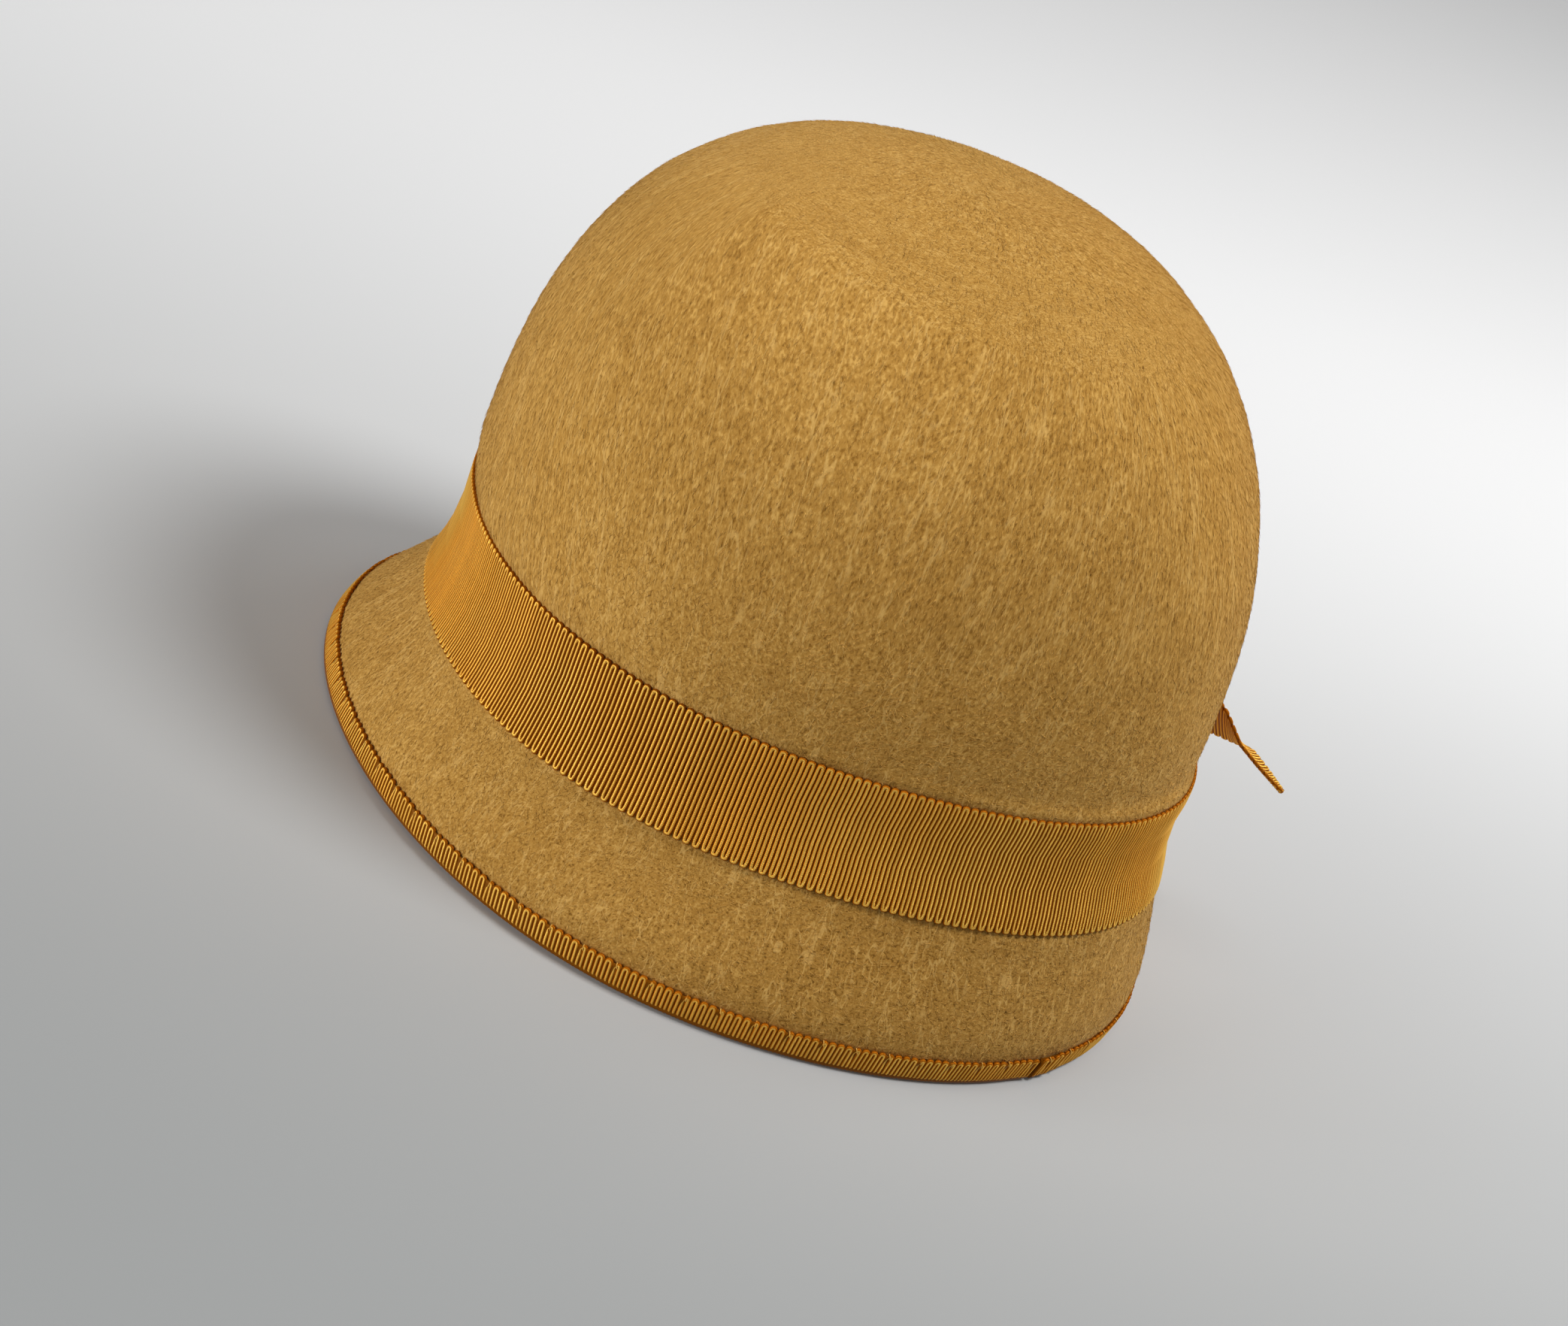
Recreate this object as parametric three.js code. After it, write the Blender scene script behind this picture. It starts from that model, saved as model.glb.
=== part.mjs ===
// Cloche hat: a blocked felt hood, a ribbed ribbon band with its knot and free tail,
// and a ribbon binding folded over the rim.
// Millimetres, +Z up. The front faces -Y, the wearer's left is +X, and the rim stands on z = 0.
import * as THREE from "three";
import { LoftGeometry } from "three/addons/geometries/LoftGeometry.js";

// Cloth and clearances
const FELT_WALL = 2.2;
const RIBBON_WALL = 1.0;
const CLEARANCE = 0.3;

// Crown above the shoulder, as a superellipse in side view, and the share of it that leads the line below
const DOME_HEIGHT = 110.5;
const DOME_FULLNESS = 2.4;
const DOME_LEAD = 0.15;

// Ribbon binding: how high it reaches on each face of the brim, and the lapped end at the centre back
const BINDING_TOP = 7.6;
const BINDING_BEVEL = 0.4;
const LAP_TURN = 180;
const LAP_LENGTH_DEG = 9;
const LAP_STEP_DEG = 0.4;
const LAP_RISE = 0.8;

// Knot over the band's joint on the wearer's right, in degrees round from the front
const KNOT_TURN = 258;
const KNOT_HALF_DEG = 7;
const KNOT_PUFF = 1.2;

// The knot's inner face from below the band to above it: level, and distance outside the felt.
// It is arched to let the tail through under it.
const KNOT_ARCH = [
  { level: 1.93, outside: 0.4 },
  { level: 1.97, outside: 2.2 },
  { level: 2.15, outside: 3.7 },
  { level: 3, outside: 3.8 },
  { level: 3.85, outside: 3.7 },
  { level: 4.07, outside: 2.2 },
  { level: 4.16, outside: 0.4 },
];

// Mesh counts: columns round the hat, and rings or rows up each stretch of it
const TURNS = 64;
const BRIM_RINGS = 3;
const BAND_RINGS = 4;
const SHOULDER_RINGS = 2;
const DOME_RINGS = 12;
const BINDING_ROWS = 3;
const KNOT_COLUMNS = 6;
const TAIL_SECTIONS = 28;
const TAIL_ROWS = 4;

// Cross sections of the felt's outer face, from the rim to the shoulder of the crown.
// Height is at the sides and dip is how far the front lies below it and the back above it.
// Front, back and side are half lengths, and slim is the share by which the oval is drawn in
// between them, 0 for a plain ellipse.
const SECTIONS = [
  { name: "rim", height: 1.3, dip: 0, front: 127, back: 109.5, side: 99.5, slim: 0.02 },
  { name: "brim", height: 10.5, dip: 1.5, front: 123, back: 111.5, side: 100, slim: 0.025 },
  { name: "band foot", height: 36.5, dip: 5.2, front: 106, back: 106.5, side: 89, slim: 0.037 },
  { name: "band waist", height: 52, dip: 4.8, front: 102, back: 102.5, side: 86, slim: 0.037 },
  { name: "band head", height: 67, dip: 4.3, front: 102.5, back: 103.5, side: 86, slim: 0.037 },
  { name: "shoulder", height: 74, dip: 2, front: 104.5, back: 102.5, side: 87, slim: 0.037 },
];
const RIM = 0;
const BRIM = 1;
const BAND_FOOT = 2;
const BAND_HEAD = 4;
const SHOULDER = 5;
const APEX = 6;

// Free ribbon end behind the knot: the middle of the ribbon, its lean from upright,
// and how far its upper and lower edges lie from the middle. The end is cut on the slant.
const TAIL_CURL = -0.5;
const TAIL = [
  { out: 85, back: 29, height: 52.5, lean: 3, upper: 10, lower: 10 },
  { out: 83.8, back: 34, height: 53, lean: 4, upper: 11, lower: 11 },
  { out: 83.2, back: 43, height: 55, lean: 12, upper: 12, lower: 12 },
  { out: 84.3, back: 55, height: 58, lean: 20, upper: 12, lower: 12 },
  { out: 85.5, back: 67, height: 60.3, lean: 38, upper: 12, lower: 12 },
  { out: 86, back: 76.5, height: 59.5, lean: 48, upper: 12, lower: 12 },
  { out: 86, back: 83.5, height: 57.3, lean: 53, upper: 8, lower: 12 },
  { out: 86, back: 90.5, height: 54.3, lean: 54, upper: -1, lower: 12 },
  { out: 86, back: 96, height: 52, lean: 54, upper: -10, lower: 12 },
];

const rad = THREE.MathUtils.degToRad;

// A point on an oval section, seen from above
function ovalPoint(section, turn) {
  const ahead = Math.cos(turn);
  const across = Math.sin(turn);
  const taper = 1 - section.slim * Math.sin(2 * turn) ** 2;
  const lean = ahead * (1.5 - 0.5 * ahead * ahead);
  const reach = (section.front + section.back) / 2 + (section.front - section.back) / 2 * lean;
  return new THREE.Vector2(section.side * across * taper, -reach * ahead * taper);
}

// The crown above the shoulder, where share runs from 0 at the shoulder to 1 at the top
function domePoint(turn, share) {
  const shoulder = SECTIONS[SHOULDER];
  const angle = share * Math.PI / 2;
  const inward = Math.cos(angle);
  const upward = Math.sin(angle);
  const k = (inward ** DOME_FULLNESS + upward ** DOME_FULLNESS) ** (-1 / DOME_FULLNESS);
  const plan = ovalPoint({ ...shoulder, slim: shoulder.slim * inward }, turn).multiplyScalar(inward * k);
  const base = shoulder.height - shoulder.dip * Math.cos(turn) * inward;
  return new THREE.Vector3(plan.x, plan.y, base + DOME_HEIGHT * upward * k);
}

// One smooth line up the felt's outer face, through every section and on into the crown
const meridians = new Map();
function meridian(turn) {
  if (!meridians.has(turn)) {
    const stops = SECTIONS.map((section) => {
      const plan = ovalPoint(section, turn);
      return new THREE.Vector3(plan.x, plan.y, section.height - section.dip * Math.cos(turn));
    });
    stops.push(domePoint(turn, DOME_LEAD));
    meridians.set(turn, new THREE.CatmullRomCurve3(stops));
  }
  return meridians.get(turn);
}

// Level counts the sections, 0 at the rim, 5 at the shoulder and 6 at the top of the crown
function facePoint(turn, level) {
  if (level > SHOULDER) return domePoint(turn, level - SHOULDER);
  return meridian(turn).getPoint(level / SECTIONS.length);
}

// A point a stated distance outside the felt's outer face
function feltPoint(turn, level, outside) {
  if (level === APEX) return new THREE.Vector3(0, 0, SECTIONS[SHOULDER].height + DOME_HEIGHT + outside);
  const dTurn = 0.004;
  const dLevel = 0.02;
  const around = facePoint(turn + dTurn, level).sub(facePoint(turn - dTurn, level));
  const low = facePoint(turn, Math.max(level - dLevel, RIM));
  const high = facePoint(turn, Math.min(level + dLevel, APEX));
  const normal = around.cross(high.sub(low)).normalize();
  return facePoint(turn, level).addScaledVector(normal, outside);
}

// The level at which the outer face reaches a stated height
function levelAtHeight(turn, height) {
  let low = RIM;
  let high = BAND_FOOT;
  for (let i = 0; i < 30; i += 1) {
    const middle = (low + high) / 2;
    if (facePoint(turn, middle).z < height) low = middle;
    else high = middle;
  }
  return low;
}

function spread(from, to, count) {
  return Array.from({ length: count + 1 }, (_, i) => from + (to - from) * i / count);
}

const turns = spread(0, 2 * Math.PI, TURNS).slice(0, TURNS);

// Felt hood: one closed wall section, up the inside and down the outside, carried round the head
function feltHood() {
  const levels = [
    ...spread(RIM, BRIM, BRIM_RINGS),
    ...spread(BRIM, BAND_FOOT, BRIM_RINGS).slice(1),
    ...spread(BAND_FOOT, BAND_HEAD, BAND_RINGS).slice(1),
    ...spread(BAND_HEAD, SHOULDER, SHOULDER_RINGS).slice(1),
    ...spread(SHOULDER, APEX, DOME_RINGS).slice(1),
  ];
  const at = (turn, level, outside) => {
    const point = feltPoint(turn, level, outside);
    if (level === RIM) point.z = SECTIONS[RIM].height;
    return point;
  };
  const wall = [...turns, turns[0]].map((turn) => [
    ...levels.map((level) => at(turn, level, -FELT_WALL)),
    ...levels.map((level) => at(turn, level, 0)).reverse(),
  ]);
  return new LoftGeometry(wall);
}

// Ribbon band: a closed strip lying on the felt between the band's foot and head
function hatBand() {
  const levels = spread(BAND_FOOT, BAND_HEAD, BAND_RINGS);
  const strip = [...turns, turns[0]].map((turn) => [
    ...levels.map((level) => feltPoint(turn, level, CLEARANCE)),
    ...levels.map((level) => feltPoint(turn, level, CLEARANCE + RIBBON_WALL)).reverse(),
  ]);
  return new LoftGeometry(strip);
}

// Knot: a short ribbon wrapped over the band, fullest in the middle
function bandKnot() {
  const wall = spread(-1, 1, KNOT_COLUMNS).map((across) => {
    const turn = rad(KNOT_TURN + across * KNOT_HALF_DEG);
    const puff = RIBBON_WALL + KNOT_PUFF * (1 - across * across);
    return [
      ...KNOT_ARCH.map((row) => feltPoint(turn, row.level, row.outside)),
      ...KNOT_ARCH.map((row) => feltPoint(turn, row.level, row.outside + puff)).reverse(),
    ];
  });
  return new LoftGeometry(wall, { capStart: true, capEnd: true });
}

// Tail: a flat ribbon twisting away from the band, as wide as its edges say
function bandTail() {
  const middle = new THREE.CatmullRomCurve3(
    TAIL.map((row) => new THREE.Vector3(-row.out, row.back, row.height)));
  const outward = new THREE.Vector3(-1, 0, 0);
  const column = (name, place) => {
    const i = Math.min(Math.floor(place), TAIL.length - 2);
    return THREE.MathUtils.lerp(TAIL[i][name], TAIL[i + 1][name], place - i);
  };
  const strip = spread(0, TAIL.length - 1, TAIL_SECTIONS).map((place) => {
    const share = place / (TAIL.length - 1);
    const along = middle.getTangent(share);
    const face = outward.clone().addScaledVector(along, -outward.dot(along)).normalize();
    face.applyAxisAngle(along, rad(column("lean", place)));
    const upright = along.clone().cross(face);
    const rows = spread(-1, 1, TAIL_ROWS);
    const half = (column("upper", place) + column("lower", place)) / 2;
    const centre = column("upper", place) - half;
    const at = (row, side) => middle.getPoint(share)
      .addScaledVector(upright, centre + half * row)
      .addScaledVector(face, side * RIBBON_WALL / 2 + TAIL_CURL * (1 - row * row));
    return [...rows.map((row) => at(row, 1)), ...rows.map((row) => at(row, -1)).reverse()];
  });
  return new LoftGeometry(strip, { capStart: true, capEnd: true });
}

// Binding: a ribbon folded over the rim, flat underneath, with its lapped end standing proud
function bindingSection(turn, lap) {
  const near = CLEARANCE;
  const far = near + RIBBON_WALL + lap * LAP_RISE;
  const top = levelAtHeight(turn, BINDING_TOP);
  const levels = spread(RIM, top, BINDING_ROWS);
  const at = (level, outside, height) => {
    const point = feltPoint(turn, level, outside);
    if (height !== undefined) point.z = height;
    return point;
  };
  const floor = SECTIONS[RIM].height - near - RIBBON_WALL;
  const web = floor + RIBBON_WALL;
  const innerNear = -FELT_WALL - near;
  const innerFar = innerNear - RIBBON_WALL;
  return [
    at(RIM, far - BINDING_BEVEL, floor),
    at(RIM, innerFar + BINDING_BEVEL, floor),
    at(RIM, innerFar, floor + BINDING_BEVEL),
    ...levels.slice(1).map((level) => at(level, innerFar)),
    ...levels.slice(1).map((level) => at(level, innerNear)).reverse(),
    at(RIM, innerNear, web),
    at(RIM, near, web),
    ...levels.slice(1).map((level) => at(level, near)),
    ...levels.slice(1).map((level) => at(level, far)).reverse(),
    at(RIM, far, floor + BINDING_BEVEL),
  ];
}

function brimBinding() {
  const lapFrom = LAP_TURN - LAP_LENGTH_DEG;
  const stations = turns
    .map((turn) => THREE.MathUtils.radToDeg(turn))
    .filter((degrees) => Math.abs(degrees - LAP_TURN) > LAP_STEP_DEG)
    .map((degrees) => {
      const share = (degrees - lapFrom) / LAP_LENGTH_DEG;
      return { degrees, lap: share > 0 && share < 1 ? share : 0 };
    });
  stations.push({ degrees: LAP_TURN - LAP_STEP_DEG / 2, lap: 1 });
  stations.push({ degrees: LAP_TURN + LAP_STEP_DEG / 2, lap: 0 });
  stations.sort((one, other) => one.degrees - other.degrees);
  const ring = [...stations, stations[0]].map((station) => bindingSection(rad(station.degrees), station.lap));
  return new LoftGeometry(ring);
}

const felt = new THREE.MeshStandardMaterial({ name: "felt", color: 0xb0833f, roughness: 0.95, metalness: 0 });
const ribbon = { color: 0x94652a, roughness: 0.6, metalness: 0 };

function piece(name, geometry, material) {
  const mesh = new THREE.Mesh(geometry, material);
  mesh.name = name;
  return mesh;
}

const hat = new THREE.Group();
hat.name = "cloche_hat";
hat.add(
  piece("felt_hood", feltHood(), felt),
  piece("hat_band", hatBand(), new THREE.MeshStandardMaterial({ name: "band", ...ribbon })),
  piece("band_knot", bandKnot(), new THREE.MeshStandardMaterial({ name: "knot", ...ribbon })),
  piece("band_tail", bandTail(), new THREE.MeshStandardMaterial({ name: "tail", ...ribbon })),
  piece("brim_binding", brimBinding(), new THREE.MeshStandardMaterial({ name: "binding", ...ribbon })),
);

// The origin is the middle of the bounding box's underside
const box = new THREE.Box3().setFromObject(hat);
const middle = box.getCenter(new THREE.Vector3());
for (const mesh of hat.children) mesh.geometry.translate(-middle.x, -middle.y, -box.min.z);

export default hat;
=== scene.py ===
# Cloche hat: a blocked felt hood with a combed nap, a ribbed ribbon band with its knot and tail,
# and a ribbon binding folded over the rim. Pieces are worked out in millimetres and placed in metres.
import math

import bpy
import numpy as np
from mathutils import Matrix, Vector, noise


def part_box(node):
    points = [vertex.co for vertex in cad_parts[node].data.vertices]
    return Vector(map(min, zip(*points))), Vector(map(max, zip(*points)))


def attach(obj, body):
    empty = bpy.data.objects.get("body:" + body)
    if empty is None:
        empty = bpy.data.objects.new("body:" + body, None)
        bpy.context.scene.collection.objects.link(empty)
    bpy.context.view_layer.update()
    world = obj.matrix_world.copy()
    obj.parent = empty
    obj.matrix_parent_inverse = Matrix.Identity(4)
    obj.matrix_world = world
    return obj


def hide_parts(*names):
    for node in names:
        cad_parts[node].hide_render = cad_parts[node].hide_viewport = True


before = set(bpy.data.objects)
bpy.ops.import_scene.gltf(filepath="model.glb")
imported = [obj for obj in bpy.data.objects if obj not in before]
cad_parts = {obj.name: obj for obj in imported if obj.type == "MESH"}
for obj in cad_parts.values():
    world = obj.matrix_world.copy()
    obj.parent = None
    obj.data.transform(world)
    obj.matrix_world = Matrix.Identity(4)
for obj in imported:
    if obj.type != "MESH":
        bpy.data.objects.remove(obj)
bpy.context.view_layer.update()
mm = 0.001
print("frame loaded:", sorted(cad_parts))

# The felt's outer face: the same sections as the solid, from the rim to the shoulder of the crown.
# Height is at the sides; dip is how far the front lies below it and the back above it.
form = {
    "sections": [  # height, dip, front, back, side, slim
        (1.3, 0.0, 127.0, 109.5, 99.5, 0.020),  # rim
        (10.5, 1.5, 123.0, 111.5, 100.0, 0.025),  # brim
        (36.5, 5.2, 106.0, 106.5, 89.0, 0.037),  # band foot
        (52.0, 4.8, 102.0, 102.5, 86.0, 0.037),  # band waist
        (67.0, 4.3, 102.5, 103.5, 86.0, 0.037),  # band head
        (74.0, 2.0, 104.5, 102.5, 87.0, 0.037),  # shoulder
    ],
    "domeHeight": 110.5,
    "domeFullness": 2.4,
    "domeLead": 0.15,  # share of the dome that leads the line below it
    "near": 0.004,  # steps in turn and level over which a direction is measured
    "below": 0.02,
    "fineSteps": 600,  # samples along a line that is measured
    "halvings": 24,  # in the search for a height
}
rimLevel, bandFoot, bandHead, shoulder, apex = 0.0, 2.0, 4.0, 5.0, 6.0
sections = np.array(form["sections"])
rimHeight = sections[0, 0]
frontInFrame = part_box("felt_hood")[0].y / mm  # the rim's front, so the form sits where the solid does
shiftY = frontInFrame + sections[0, 2]


def toFrame(points):
    return (np.asarray(points) + (0.0, shiftY, 0.0)) * mm


def unit(vectors):
    return vectors / np.maximum(np.linalg.norm(vectors, axis=-1, keepdims=True), 1e-12)


def ovalPoint(section, slim, turn):
    front, back, side = section[2:5]
    ahead, across = np.cos(turn), np.sin(turn)
    taper = 1 - slim * np.sin(2 * turn) ** 2
    lean = ahead * (1.5 - 0.5 * ahead * ahead)
    reach = (front + back) / 2 + (front - back) / 2 * lean
    return side * across * taper, -reach * ahead * taper


def domePoint(turn, share):
    top = sections[-1]
    inward, upward = np.cos(share * math.pi / 2), np.sin(share * math.pi / 2)
    inward = np.maximum(inward, 0.0)
    full = form["domeFullness"]
    reach = (inward**full + upward**full) ** (-1 / full)
    x, y = ovalPoint(top, top[5] * inward, turn)
    z = top[0] - top[1] * np.cos(turn) * inward + form["domeHeight"] * upward * reach
    return np.stack([x * inward * reach, y * inward * reach, z], -1)


# Smooth line through stops (count, points, 3), one place along it for each point
def smoothLine(stops, place):
    count = len(stops)
    first = 2 * stops[0] - stops[1]
    last = 2 * stops[-1] - stops[-2]
    line = np.concatenate([[first], stops, [last]])
    step = np.clip(np.floor(place).astype(int), 0, count - 2)
    part = (place - step)[..., None]
    each = np.arange(line.shape[1])
    p0, p1, p2, p3 = (line[step + k, each] for k in range(4))
    pairs = ((p0, p1), (p1, p2), (p2, p3))
    gap = [np.maximum(((b - a) ** 2).sum(-1) ** 0.25, 1e-4)[..., None] for a, b in pairs]
    t1 = ((p1 - p0) / gap[0] - (p2 - p0) / (gap[0] + gap[1]) + (p2 - p1) / gap[1]) * gap[1]
    t2 = ((p2 - p1) / gap[1] - (p3 - p1) / (gap[1] + gap[2]) + (p3 - p2) / gap[2]) * gap[1]
    return p1 + t1 * part + (3 * (p2 - p1) - 2 * t1 - t2) * part**2 + (2 * (p1 - p2) + t1 + t2) * part**3


# Level counts the sections: 0 at the rim, 5 at the shoulder, 6 at the top of the crown
def facePoint(turn, level):
    turn, level = np.broadcast_arrays(np.asarray(turn, float), np.asarray(level, float))
    shape = turn.shape
    turn, level = turn.ravel(), level.ravel()
    stops = []
    for row in sections:
        x, y = ovalPoint(row, row[5], turn)
        stops.append(np.stack([x, y, row[0] - row[1] * np.cos(turn)], -1))
    stops.append(domePoint(turn, np.full_like(turn, form["domeLead"])))
    low = smoothLine(np.array(stops), np.minimum(level, shoulder))
    high = domePoint(turn, np.clip(level - shoulder, 0, 1))
    return np.where((level > shoulder)[:, None], high, low).reshape(*shape, 3)


# Directions on the felt: round the hat, up the hat, and straight out of it
def faceAxes(turn, level):
    near = form["near"]
    level = np.minimum(level, apex - near)
    lower = np.maximum(level - form["below"], rimLevel)
    around = unit(facePoint(turn + near, level) - facePoint(turn - near, level))
    upward = unit(facePoint(turn, level + near) - facePoint(turn, lower))
    return around, upward, unit(np.cross(around, upward))


def feltPoint(turn, level, outside):
    turn, level, outside = np.broadcast_arrays(turn, level, outside)
    return facePoint(turn, level) + faceAxes(turn, level)[2] * outside[..., None]


# The level at which the brim's face reaches a height
def levelAtHeight(turn, height):
    low, high = np.zeros_like(turn), np.full_like(turn, bandFoot)
    for _ in range(form["halvings"]):
        middle = (low + high) / 2
        under = facePoint(turn, middle)[..., 2] < height
        low, high = np.where(under, middle, low), np.where(under, high, middle)
    return low


# Distance along a line of points, from its start to each of them
def runAlong(line):
    return np.concatenate([[0], np.cumsum(np.linalg.norm(np.diff(line, axis=0), axis=1))])


# Levels spaced evenly along the felt, measured up the wearer's left side
def evenLevels(start, end, step):
    fine = np.linspace(start, end, form["fineSteps"])
    run = runAlong(facePoint(np.full_like(fine, math.pi / 2), fine))
    count = max(int(round(run[-1] / step)), 2)
    return np.interp(np.linspace(0, run[-1], count + 1), run, fine)


# Mesh helpers
def gridFaces(rows, columns, offset=0, wrap=False, flip=False):
    wide = columns if wrap else columns - 1
    r, c = np.meshgrid(np.arange(rows - 1), np.arange(wide), indexing="ij")
    n = (c + 1) % columns
    quads = np.stack([r * columns + c, r * columns + n, (r + 1) * columns + n, (r + 1) * columns + c], -1)
    quads = quads.reshape(-1, 4) + offset
    return (quads[:, ::-1] if flip else quads).tolist()


def newPiece(name, points, faces, material):
    mesh = bpy.data.meshes.new(name)
    mesh.from_pydata(np.asarray(points).reshape(-1, 3).tolist(), [], faces)
    mesh.materials.append(material)
    mesh.polygons.foreach_set("use_smooth", [True] * len(mesh.polygons))
    mesh.update()
    piece = bpy.data.objects.new(name, mesh)
    bpy.context.scene.collection.objects.link(piece)
    return piece


def pointAttribute(piece, name, values):
    values = np.asarray(values, np.float32)
    vector = values.ndim == 2
    attribute = piece.data.attributes.new(name, "FLOAT_VECTOR" if vector else "FLOAT", "POINT")
    attribute.data.foreach_set("vector" if vector else "value", values.ravel())


# A ribbon's ground: a closed strip from its outer and inner grids (rows across, columns along)
def closedStrip(name, outer, inner):
    rows, columns = outer.shape[:2]
    size = rows * columns
    high = size - columns
    faces = gridFaces(rows, columns) + gridFaces(rows, columns, size, flip=True)
    for c in range(columns - 1):
        n = c + 1
        faces.append([n, c, size + c, size + n])
        faces.append([high + c, high + n, size + high + n, size + high + c])
    for r in range(rows - 1):
        a, b = r * columns, (r + 1) * columns
        faces.append([a, b, size + b, size + a])
        a, b = a + columns - 1, b + columns - 1
        faces.append([b, a, size + a, size + b])
    points = np.concatenate([outer.reshape(-1, 3), inner.reshape(-1, 3)])
    return newPiece(name, toFrame(points), faces, groundMaterial)


# Guide surface for ribs: u along the ribbon and v across it, each from 0 to 1
def guideSurface(name, points, across):
    rows, columns = points.shape[:2]
    guide = newPiece(name, toFrame(points), gridFaces(rows, columns), None)
    uv = guide.data.uv_layers.new(name="guide")
    along = np.linspace(0, 1, columns)
    place = np.stack(np.broadcast_arrays(along[None, :], across[:, None]), -1).reshape(-1, 2)
    corner = np.empty(len(guide.data.loops), np.int32)
    guide.data.loops.foreach_get("vertex_index", corner)
    uv.data.foreach_set("uv", place[corner].ravel())
    return guide


# A ribbon's length and width, along its middle row and its middle column
def ribbonSize(points):
    rows, columns = points.shape[:2]
    return runAlong(points[rows // 2])[-1], runAlong(points[:, columns // 2])[-1]


# Node helpers, for materials and for Geometry Nodes
def feed(tree, socket, value):
    if isinstance(value, bpy.types.NodeSocket):
        tree.links.new(value, socket)
    else:
        socket.default_value = value


def addNode(tree, kind, inputs=None, **settings):
    node = tree.nodes.new(kind)
    for key, value in settings.items():
        setattr(node, key, value)
    for key, value in (inputs or {}).items():
        feed(tree, node.inputs[key], value)
    return node


def nodeOut(tree, kind, inputs=None, **settings):
    return addNode(tree, kind, inputs, **settings).outputs[0]


def calc(tree, operation, *values):
    return nodeOut(tree, "ShaderNodeMath", dict(enumerate(values)), operation=operation)


def vectorCalc(tree, operation, *values):
    return nodeOut(tree, "ShaderNodeVectorMath", dict(enumerate(values)), operation=operation)


# The vector sums that give one number, such as a dot product or a length
def vectorValue(tree, operation, *values):
    node = addNode(tree, "ShaderNodeVectorMath", dict(enumerate(values)), operation=operation)
    return node.outputs["Value"]


def scaled(tree, vector, factor):
    return nodeOut(tree, "ShaderNodeVectorMath", {0: vector, "Scale": factor}, operation="SCALE")


def combined(tree, *values):
    return nodeOut(tree, "ShaderNodeCombineXYZ", dict(enumerate(values)))


def ramp(tree, value, low, high):
    inputs = {"Value": value, "From Min": low, "From Max": high}
    return nodeOut(tree, "ShaderNodeMapRange", inputs, interpolation_type="SMOOTHSTEP")


def mixColour(tree, factor, one, other):
    node = addNode(tree, "ShaderNodeMix", {"Factor": factor, 6: one, 7: other}, data_type="RGBA")
    return node.outputs[2]


def noiseValue(tree, vector, scale, detail=2.0, roughness=0.5):
    inputs = {"Vector": vector, "Scale": scale, "Detail": detail, "Roughness": roughness}
    return addNode(tree, "ShaderNodeTexNoise", inputs).outputs["Fac"]


def shaderAttribute(tree, name, output="Vector"):
    return addNode(tree, "ShaderNodeAttribute", attribute_name=name).outputs[output]


def bumped(tree, height, strength, depth):
    inputs = {"Height": height, "Strength": strength, "Distance": depth * mm}
    return nodeOut(tree, "ShaderNodeBump", inputs)


# A node group with named sockets, for materials or for Geometry Nodes
def newGroup(name, kind, inputs, outputs):
    tree = bpy.data.node_groups.new(name, kind)
    for side, sockets in (("INPUT", inputs), ("OUTPUT", outputs)):
        for label, sort in sockets.items():
            tree.interface.new_socket(label, in_out=side, socket_type="NodeSocket" + sort)
    return tree, tree.nodes.new("NodeGroupInput").outputs, tree.nodes.new("NodeGroupOutput").inputs


def newMaterial(name):
    material = bpy.data.materials.new(name)
    material.use_nodes = True
    return material, material.node_tree, material.node_tree.nodes["Principled BSDF"]


def setShader(shader, values):
    for name, value in values.items():
        shader.inputs[name].default_value = value


def colour(red, green, blue):
    shares = (red / 255, green / 255, blue / 255)
    linear = [c / 12.92 if c <= 0.04045 else ((c + 0.055) / 1.055) ** 2.4 for c in shares]
    return (*linear, 1.0)


# Felt colour, shared by the hood and its nap: tufts drawn out along the comb, mottle and dark pits, with
# painted shade over the hood's pitted part low down
feltTone = {
    "Body": colour(184, 136, 62),
    "Pale": colour(216, 169, 90),
    "Deep": colour(152, 106, 40),
    "PitAndShade": colour(118, 81, 26),
    "Strand": colour(224, 180, 104),
    "fibre": colour(226, 180, 96),
    "fibreMix": 0.6,  # most that a fibre is paler than the felt below it
    "blotchSize": 45.0,
    "mottleSize": 8.0,
    "tuftSize": 0.95,
    "grainSize": 0.5,
    "grainRoughness": 0.6,
    "blotchShare": 0.2,  # these three are added to the grain
    "mottleShare": 0.16,
    "tuftShare": 0.8,
    "paleFrom": (1.04, 1.38),  # sums where the pale colour starts, and where it is full
    "deepFrom": (1.04, 0.78),
    "pitFrom": (0.84, 0.56),  # the same for a pit, from tufts and grain alone
    "paintedShade": 0.24,  # painted shade: how much of the pits' colour lies all over the pitted part
    "strandSizes": (1.5, 2.1),
    "strandDraw": 0.32,  # under 1 draws the strands out upwards
    "strandLine": (0.04, 0.008),  # distances from a contour where a strand starts, and where it is full
    "strandShown": (0.47, 0.6),  # noise where a strand comes into sight, and where it is full
    "strandAside": (0.3, 0.7, 0.1),  # sets that noise apart from the contours
    "strandMix": 0.5,
    "strandHeight": 0.25,
    "bump": 0.4,
    "bumpDepth": 0.4,
    "combDraw": 0.33,  # under 1 draws the whole pattern out along the comb
    "combFrom": (84.0, 118.0),  # heights between which the pattern takes up the comb, behind
    "combFromAhead": (56.0, 78.0),  # the same in front
    "combLean": ((0, 60, 130, 160, 180), (0, 0.4, -0.05, -0.1, 0)),  # degrees from the front, lean forward
    "combLost": (65.0, 45.0),  # degrees from the front where the low comb starts to go, and over how many
}
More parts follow.
